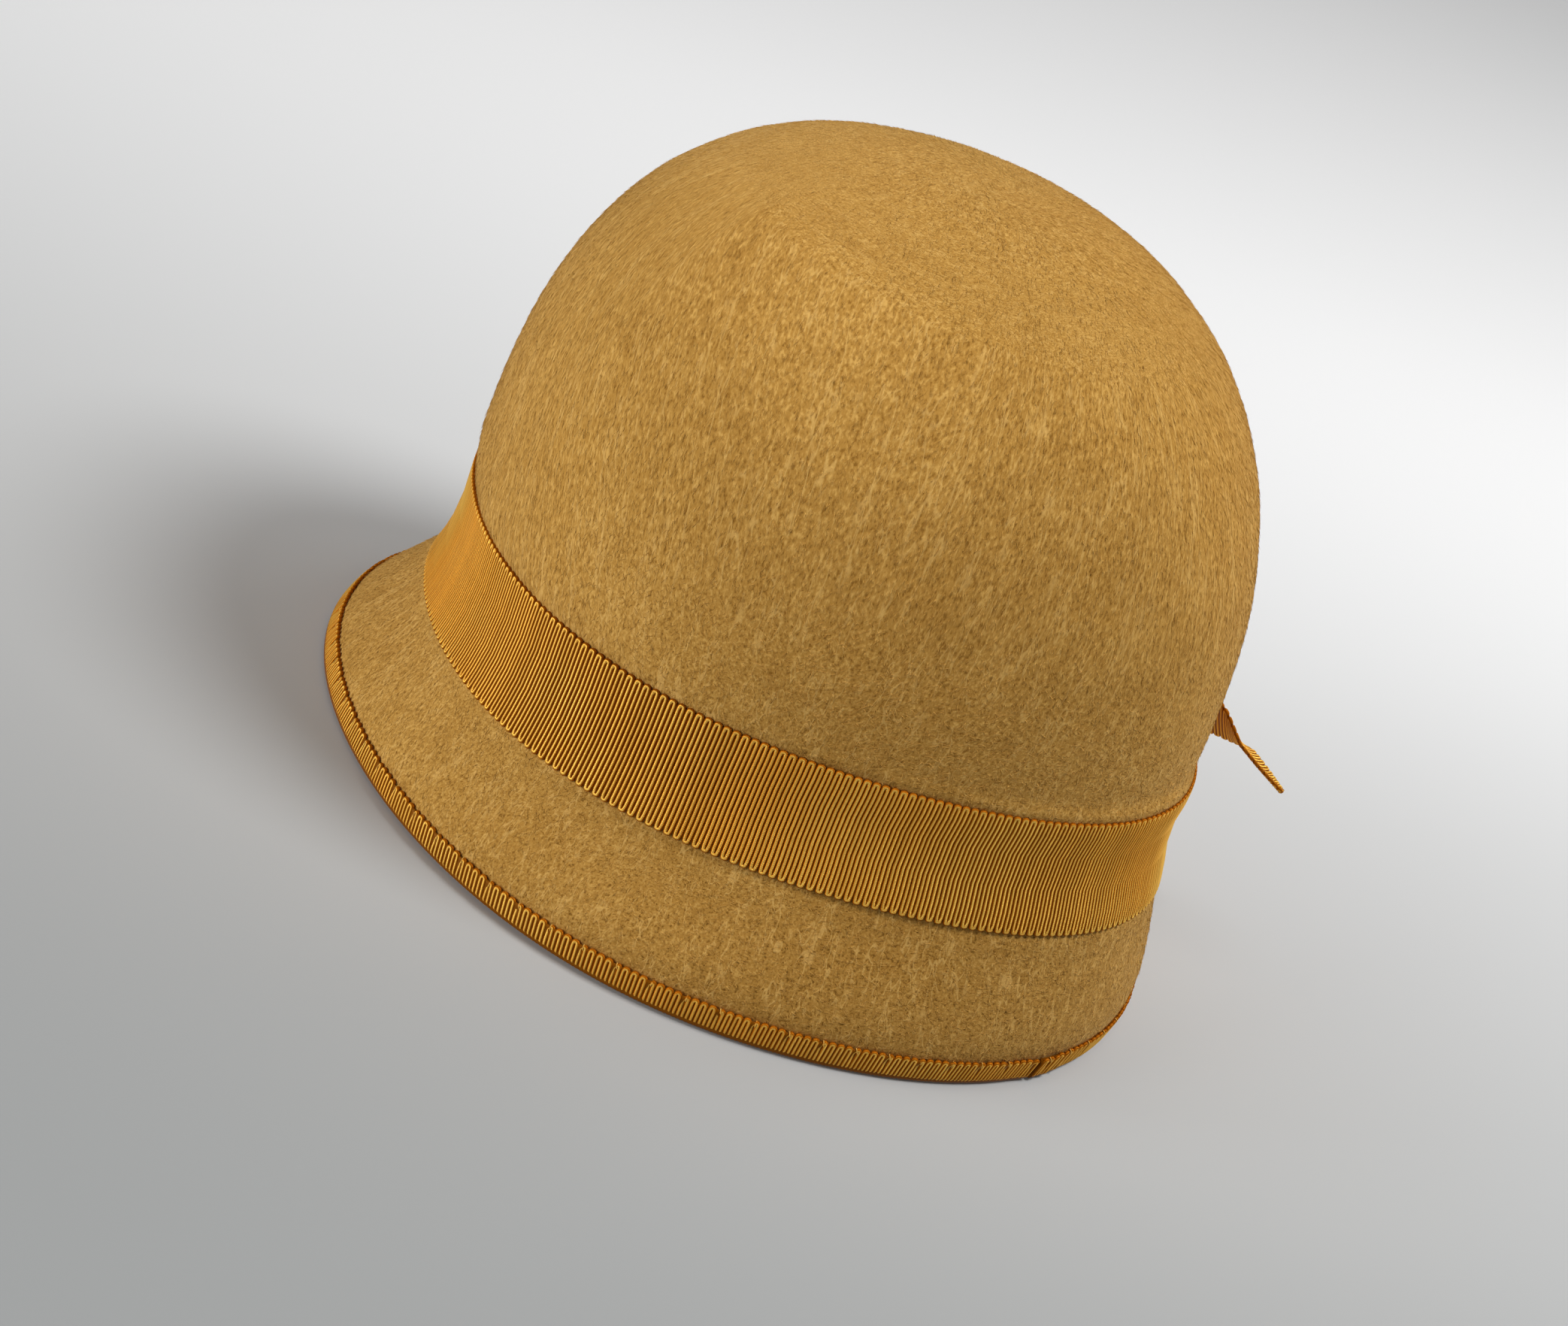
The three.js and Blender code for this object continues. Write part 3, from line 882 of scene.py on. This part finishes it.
def makeBand():
    start = band["joint"] + band["jointGap"]
    turns = np.radians(np.linspace(start, start + 360 - 2 * band["jointGap"], band["columns"]))
    turn, level = np.meshgrid(turns, np.linspace(bandFoot, bandHead, band["rows"]))
    waist = (bandFoot + bandHead) / 2
    droop = band["droop"] * ((level - waist) / (bandHead - waist)) ** band["droopPower"]
    guide = feltPoint(turn, level, band["ribs"] - droop)
    length, width = ribbonSize(guide)
    surface = guideSurface("bandGuide", guide, np.linspace(0, 1, band["rows"]))
    ribs = layRibs("bandRibs", surface, length, width, band["points"])
    level = waist + (level - waist) * (1 - band["inset"])
    outer = feltPoint(turn, level, band["far"] - droop)
    inner = feltPoint(turn, level, band["near"] - droop)
    return closedStrip("bandGround", outer, inner), ribs, length, width


bandGround, bandRibs, bandLength, bandWidth = makeBand()

# Binding: a ribbon folded over the rim and sewn down, its turned-in ends meeting at the back
binding = {
    "columns": 631,
    "points": 16,
    "top": 7.6,  # height of its edge on both faces of the brim
    "groundTop": 7.35,
    "leafRows": 7,
    "turnRows": 4,
    "flatRows": 3,
    "near": 0.35,
    "far": 0.85,
    "ribs": 0.65,
    "joint": 170.5,  # degrees round from the front
    "jointGap": 0.3,  # degrees to either side
    "startRise": (0.8, 8.0),  # how far each turned-in end stands up, and over how many degrees
    "endRise": (0.5, 3.0),
    "rumple": (0.3, 2.4),  # depth of the puckers near the start, and degrees from one to the next
    "stitchEvery": 8.0,  # ribs between the hand stitches
    "stitchPlace": (3.0, 0.962),  # ribs before the first one, and its place across the ribbon
    "stitchSize": (0.8, 0.35, 0.15),  # half length, sunk by, thread radius
    "stitchSlant": (-0.2, 0.7),
    "stitchWay": (0.0, 0.03, 0.0),  # step along and across the guide that gives a stitch its direction
    "stitchSteps": 9,
    "stitchSides": 6,
    "ribForm": {"sides": 6, "radius": 0.56, "edgePower": 2.2, "pullDepth": 0.05, "pullSink": 0.3},
}


# The fold's path round the felt's edge, a stated depth off the felt: inner edge, under, outer edge
def foldPath(turns, depth, top):
    reach = levelAtHeight(turns, top)
    wall = hood["wall"]
    leaf = np.linspace(0, 1, binding["leafRows"])
    corners = np.linspace(0, math.pi / 2, binding["turnRows"] + 1)
    rows = []
    for share in leaf[::-1]:
        spot = feltPoint(turns, reach * share, -wall - depth)
        spot[:, 2] = np.maximum(spot[:, 2], rimHeight)
        rows.append(spot)
    under = [(-wall - depth * math.cos(angle), depth * math.sin(angle)) for angle in corners[1:]]
    under += [(-wall * (1 - share), depth) for share in np.linspace(0, 1, binding["flatRows"] + 1)[1:]]
    under += [(depth * math.cos(angle), depth * math.sin(angle)) for angle in corners[-2::-1]]
    for outside, drop in under:
        spot = feltPoint(turns, rimLevel, outside)
        spot[:, 2] = rimHeight - drop
        rows.append(spot)
    for share in leaf[1:]:
        rows.append(feltPoint(turns, reach * share, depth))
    return np.array(rows)


def easeDown(share):
    share = np.clip(share, 0, 1)
    return 1 - share * share * (3 - 2 * share)


# The ends stand up where they are turned in, on the outside only, and the start is puckered
def endsRise(turns):
    sinceStart = np.degrees(turns) - binding["joint"]
    (startHigh, startLong), (endHigh, endLong) = binding["startRise"], binding["endRise"]
    depth, pucker = binding["rumple"]
    start = easeDown(sinceStart / startLong)
    waves = depth * np.sin(2 * math.pi * sinceStart / pucker) * start * (1 - start) * 4  # full depth halfway
    return startHigh * start + waves + endHigh * easeDown((360 - sinceStart) / endLong)


def makeBinding():
    start, gap = binding["joint"], binding["jointGap"]
    turns = np.radians(np.linspace(start + gap, start + 360 - gap, binding["columns"]))
    guide = foldPath(turns, binding["ribs"], binding["top"])
    leaf, corner = binding["leafRows"] - 1, binding["turnRows"]
    outside = np.zeros(len(guide))
    outside[-leaf:] = 1.0
    outside[-leaf - corner:-leaf] = np.linspace(0, 1, corner + 1)[1:]
    out = np.stack([np.sin(turns), -np.cos(turns), np.zeros_like(turns)], -1)
    lift = outside[:, None, None] * (endsRise(turns)[:, None] * out)[None]
    length, width = ribbonSize(guide)
    run = runAlong(guide[:, 0])
    surface = guideSurface("bindingGuide", guide + lift, run / run[-1])
    stitches = sewStitches("bindingStitches", surface, length)
    ribs = layRibs("bindingRibs", surface, length, width, binding["points"],
                   pullEvery=binding["stitchEvery"], **binding["ribForm"])
    outer = foldPath(turns, binding["far"], binding["groundTop"]) + lift
    inner = foldPath(turns, binding["near"], binding["groundTop"])
    return closedStrip("bindingGround", outer, inner), [ribs, stitches], length, width


# Hand stitches over the binding's upper edge: a short arc of thread at even steps along the guide
def makeStitchTree():
    floats = ("Every", "First", "Across", "Reach", "Sink", "Radius")
    inputs = {"Ribs": "Int", **{name: "Float" for name in floats}, "Material": "Material"}
    tree, given, result = newTree("handStitches", inputs)
    count = calc(tree, "FLOOR", calc(tree, "DIVIDE", given["Ribs"], given["Every"]))
    line = nodeOut(tree, "GeometryNodeMeshLine", {"Count": count, "Offset": (mm, 0, 0)})
    points = nodeOut(tree, "GeometryNodeMeshToPoints", {"Mesh": line})
    index = nodeOut(tree, "GeometryNodeInputIndex")
    along = calc(tree, "MULTIPLY_ADD", index, given["Every"], given["First"])
    along = calc(tree, "DIVIDE", along, given["Ribs"])
    place = combined(tree, along, given["Across"])
    below = vectorCalc(tree, "SUBTRACT", place, binding["stitchWay"])
    seat = sampleGuide(tree, given["Geometry"], "GeometryNodeInputPosition", place)
    out = sampleGuide(tree, given["Geometry"], "GeometryNodeInputNormal", place)
    under = sampleGuide(tree, given["Geometry"], "GeometryNodeInputPosition", below)
    way = vectorCalc(tree, "SUBTRACT", seat, under)
    slant = randomValue(tree, *binding["stitchSlant"], seed=3)
    slant = scaled(tree, vectorCalc(tree, "CROSS_PRODUCT", out, way), slant)
    way = vectorCalc(tree, "ADD", way, slant)
    seat = vectorCalc(tree, "SUBTRACT", seat, scaled(tree, out, given["Sink"]))
    points = nodeOut(tree, "GeometryNodeSetPosition", {"Geometry": points, "Position": seat})
    arc = {"Resolution": binding["stitchSteps"], "Radius": given["Reach"], "Sweep Angle": math.pi}
    arc = nodeOut(tree, "GeometryNodeCurveArc", arc)
    thread = tubeAlong(tree, arc, binding["stitchSides"], given["Radius"])
    aim = aimed(tree, "Y", out, "X", way)
    stitches = nodeOut(tree, "GeometryNodeInstanceOnPoints",
                       {"Points": points, "Instance": thread, "Rotation": aim})
    closeTree(tree, stitches, given["Material"], result)
    return tree


def sewStitches(name, guide, length):
    first, across = binding["stitchPlace"]
    reach, sunk, radius = binding["stitchSize"]
    values = {"Ribs": ribCount(length), "Every": binding["stitchEvery"], "First": first, "Across": across,
              "Reach": reach * mm, "Sink": sunk * mm, "Radius": radius * mm, "Material": threadMaterial}
    return runTree(name, guide, makeStitchTree(), values)


bindingGround, bindingPieces, bindingLength, bindingWidth = makeBinding()

# Tail: the ribbon's free end behind the knot, twisting as it goes, cut on the slant
tail = {
    "rows": [  # out, back, height, lean, upper, lower
        (85.0, 29.0, 52.5, 3.0, 10.0, 10.0),
        (83.8, 34.0, 53.0, 4.0, 11.0, 11.0),
        (83.2, 43.0, 55.0, 12.0, 12.0, 12.0),
        (84.3, 55.0, 58.0, 20.0, 12.0, 12.0),
        (85.5, 67.0, 60.3, 38.0, 12.0, 12.0),
        (86.0, 76.5, 59.5, 50.0, 12.0, 12.0),
        (86.0, 83.5, 57.3, 64.0, 8.0, 12.0),
        (86.0, 90.5, 54.3, 66.0, -1.0, 12.0),
        (86.0, 96.0, 52.0, 66.0, -10.0, 12.0),
    ],
    "curl": -0.5,
    "columns": 81,
    "across": 9,
    "points": 10,
    "ribRadius": 0.55,
    "groundHalf": 0.22,
    "slopeStep": 0.02,  # rows to either side over which its direction is measured
}


def tailSurface(side):
    table = np.array(tail["rows"])
    last = len(table) - 1
    place = np.linspace(0, last, tail["columns"])
    stops = np.stack([-table[:, 0], table[:, 1], table[:, 2]], -1)
    stops = np.repeat(stops[:, None, :], len(place), axis=1)
    middle = smoothLine(stops, place)
    ahead = smoothLine(stops, np.minimum(place + tail["slopeStep"], last))
    behind = smoothLine(stops, np.maximum(place - tail["slopeStep"], 0))
    along = unit(ahead - behind)
    outward = np.array([-1.0, 0, 0])
    face = unit(outward - along * (along @ outward)[:, None])
    lean, upper, lower = (np.interp(place, np.arange(last + 1), table[:, k]) for k in (3, 4, 5))
    lean = np.radians(lean)[:, None]
    face = face * np.cos(lean) + np.cross(along, face) * np.sin(lean)
    upright = np.cross(along, face)
    rows = []
    for row in np.linspace(-1, 1, tail["across"]):
        spot = (upper - lower) / 2 + (upper + lower) / 2 * row
        rows.append(middle + upright * spot[:, None] + face * (side + tail["curl"] * (1 - row * row)))
    return np.array(rows)


def makeTail():
    guide = tailSurface(0.0)
    length, width = ribbonSize(guide)
    surface = guideSurface("tailGuide", guide, np.linspace(0, 1, tail["across"]))
    ribs = layRibs("tailRibs", surface, length, width, tail["points"], radius=tail["ribRadius"])
    half = tail["groundHalf"]
    return closedStrip("tailGround", tailSurface(-half), tailSurface(half)), ribs, length, width


tailGround, tailRibs, tailLength, tailWidth = makeTail()

# Knot: a short ribbon wrapped over the band's joint, gathered a little
knot = {
    "turn": 258.0,
    "half": 7.0,
    "puff": 1.2,
    "arch": [  # level, outside the felt
        (1.93, 0.4), (1.97, 2.2), (2.15, 3.7), (3.0, 3.8), (3.85, 3.7), (4.07, 2.2), (4.16, 0.4),
    ],
    "smoothOver": 7,  # steps
    "across": 25,
    "steps": 49,
    "points": 26,
    "pleats": 3,
    "pleatDepth": 0.3,
    "near": 0.1,  # the ground's inner and outer faces, and the ribs' middle, outside the arch
    "far": 0.7,
    "ribs": 0.6,
}


# The knot's arch over the band, in even steps along it
def knotArch():
    arch = np.array(knot["arch"])
    place = np.linspace(0, len(arch) - 1, knot["steps"])
    level, outside = (np.interp(place, np.arange(len(arch)), arch[:, k]) for k in range(2))
    span = knot["smoothOver"]
    outside = np.convolve(np.pad(outside, span // 2, mode="edge"), np.ones(span) / span, mode="valid")
    run = runAlong(feltPoint(math.radians(knot["turn"]), level, outside))
    even = np.linspace(0, run[-1], knot["steps"])
    return np.interp(even, run, level), np.interp(even, run, outside)


def knotSurface(depth, gathered):
    level, outside = knotArch()
    rows = []
    for across in np.linspace(-1, 1, knot["across"]):
        turn = math.radians(knot["turn"] + across * knot["half"])
        puff = knot["puff"] * (1 - across * across)
        pleat = knot["pleatDepth"] * math.cos(across * knot["pleats"] * math.pi) * (1 - across**4)
        rows.append(feltPoint(turn, level, outside + depth + (puff + pleat if gathered else 0.0)))
    return np.array(rows)[::-1]


def makeKnot():
    guide = knotSurface(knot["ribs"], gathered=True)
    length, width = ribbonSize(guide)
    surface = guideSurface("knotGuide", guide, np.linspace(0, 1, knot["across"]))
    ribs = layRibs("knotRibs", surface, length, width, knot["points"])
    outer, inner = knotSurface(knot["far"], gathered=True), knotSurface(knot["near"], gathered=False)
    return closedStrip("knotGround", outer, inner), ribs, length, width


knotGround, knotRibs, knotLength, knotWidth = makeKnot()

# Everything rides on the one body and stands for its CAD node
ribbonPieces = [
    (bandGround, [bandRibs], "hat_band", bandLength, bandWidth, "stretched"),
    (bindingGround, bindingPieces, "brim_binding", bindingLength, bindingWidth, "folded"),
    (tailGround, [tailRibs], "band_tail", tailLength, tailWidth, "hung"),
    (knotGround, [knotRibs], "band_knot", knotLength, knotWidth, "folded"),
]
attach(feltHood, "root")
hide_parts("felt_hood")
for piece in napPieces:
    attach(piece, "root")
for ground, threads, node, length, width, held in ribbonPieces:
    for piece in [ground, *threads]:
        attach(piece, "root")
    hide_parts(node)
print("pieces placed")

# Camera at the photograph's angle to the hat
view = {
    "azimuth": 119.08,
    "elevation": 26.19,
    "roll": 22.12,
    "distance": 862.75,
    "right": -5.03,  # where it looks, across and up from the middle of the crown
    "up": -43.48,
    "middle": 95.0,
    "focal": 4647.0,  # pixels, in an image 2086 wide
    "imageWidth": 2086.0,
    "sensor": 36.0,
    "clip": (0.01, 20.0),
}


def makeCamera():
    turn, tilt, roll = (math.radians(view[key]) for key in ("azimuth", "elevation", "roll"))
    back = Vector((math.sin(turn) * math.cos(tilt), -math.cos(turn) * math.cos(tilt), math.sin(tilt)))
    right = (-back).cross(Vector((0, 0, 1))).normalized()
    up = right.cross(-back)
    target = Vector((0, 0, view["middle"])) + view["right"] * right + view["up"] * up
    spot = target + view["distance"] * back + Vector((0, shiftY, 0))
    imageRight = math.cos(roll) * right + math.sin(roll) * up
    imageUp = -math.sin(roll) * right + math.cos(roll) * up
    data = bpy.data.cameras.new("photoCamera")
    data.sensor_width = view["sensor"]
    data.lens = view["focal"] * view["sensor"] / view["imageWidth"]
    data.clip_start, data.clip_end = view["clip"]
    camera = bpy.data.objects.new("photoCamera", data)
    aim = Matrix((imageRight, imageUp, back)).transposed().to_4x4()
    camera.matrix_world = Matrix.Translation(spot * mm) @ aim
    bpy.context.scene.collection.objects.link(camera)
    bpy.context.scene.camera = camera
    return right, back


viewRight, viewBack = makeCamera()

# Studio: a pale floor with painted shade towards the camera and a painted glow far off, soft lights above and
# round the hat, and a pale surround
studio = {
    "floorSize": 6.0,
    "floorNear": colour(162, 164, 164),
    "floorFar": colour(247, 247, 247),
    "floorFade": (0.3, -0.6),  # metres towards the camera where it is darkest and palest
    "floorGlow": 0.18,  # painted light: what the palest part gives off, to look like a lit white backdrop
    "surround": 0.065,  # its light on the hat
    "surroundSeen": 0.62,  # what the camera sees past the floor
    "floorMiddle": -0.4,  # metres towards the camera
    "floorEnd": (1.55, 1.0),  # metres from there where the floor is gone, and where it starts to go
    "aimHeight": 0.09,  # metres up the hat, where the lights are aimed
    "lights": [  # name, place to the view's right, up (world) and towards the camera, size, watts
        ("overhead", 0.0, 1.4, 0.0, 0.9, 2.3),
        ("key", 0.7, 1.15, 0.2, 0.5, 14.8),
        ("windowHigh", -1.0, 0.4, 0.9, 0.9, 6.0),
        ("windowLow", -1.3, 0.12, 0.5, 0.6, 10.0),
        ("backWash", 1.1, 0.5, -0.8, 0.8, 3.3),
    ],
}
flatBack = Vector((viewBack.x, viewBack.y, 0)).normalized()


def makeFloor():
    material, tree, shader = newMaterial("paleFloor")
    place = addNode(tree, "ShaderNodeTexCoord").outputs["Object"]
    # painted shade: the floor darkens towards the camera
    far = ramp(tree, vectorValue(tree, "DOT_PRODUCT", place, flatBack), *studio["floorFade"])
    feed(tree, shader.inputs["Base Color"], mixColour(tree, far, studio["floorNear"], studio["floorFar"]))
    apart = vectorCalc(tree, "SUBTRACT", place, flatBack * studio["floorMiddle"])
    away = vectorValue(tree, "LENGTH", apart)
    feed(tree, shader.inputs["Alpha"], ramp(tree, away, *studio["floorEnd"]))
    # painted light: the palest part glows
    feed(tree, shader.inputs["Emission Strength"], calc(tree, "MULTIPLY", far, studio["floorGlow"]))
    setShader(shader, {"Roughness": 0.9, "Specular IOR Level": 0.1})
    half = studio["floorSize"] / 2
    corners = [(-half, -half, 0), (half, -half, 0), (half, half, 0), (-half, half, 0)]
    floor = newPiece("floor", corners, [[0, 1, 2, 3]], material)


def makeLights():
    centre = Vector((0, 0, studio["aimHeight"]))
    for name, right, up, towards, size, watts in studio["lights"]:
        data = bpy.data.lights.new(name, "AREA")
        data.shape, data.size, data.energy = "DISK", size, watts
        light = bpy.data.objects.new(name, data)
        spot = centre + viewRight * right + Vector((0, 0, up)) + flatBack * towards
        aim = (spot - centre).to_track_quat("Z", "Y").to_matrix().to_4x4()
        light.matrix_world = Matrix.Translation(spot) @ aim
        bpy.context.scene.collection.objects.link(light)


def makeSurround():
    world = bpy.data.worlds.new("paleSurround")
    world.use_nodes = True
    tree = world.node_tree
    sky = tree.nodes["Background"]
    sky.inputs["Color"].default_value = (1.0, 1.0, 1.0, 1.0)
    seen = addNode(tree, "ShaderNodeLightPath").outputs["Is Camera Ray"]
    extra = studio["surroundSeen"] - studio["surround"]
    feed(tree, sky.inputs["Strength"], calc(tree, "MULTIPLY_ADD", seen, extra, studio["surround"]))
    bpy.context.scene.world = world
    bpy.context.scene.view_settings.view_transform = "Standard"


makeFloor()
makeLights()
makeSurround()
print("camera and studio made")
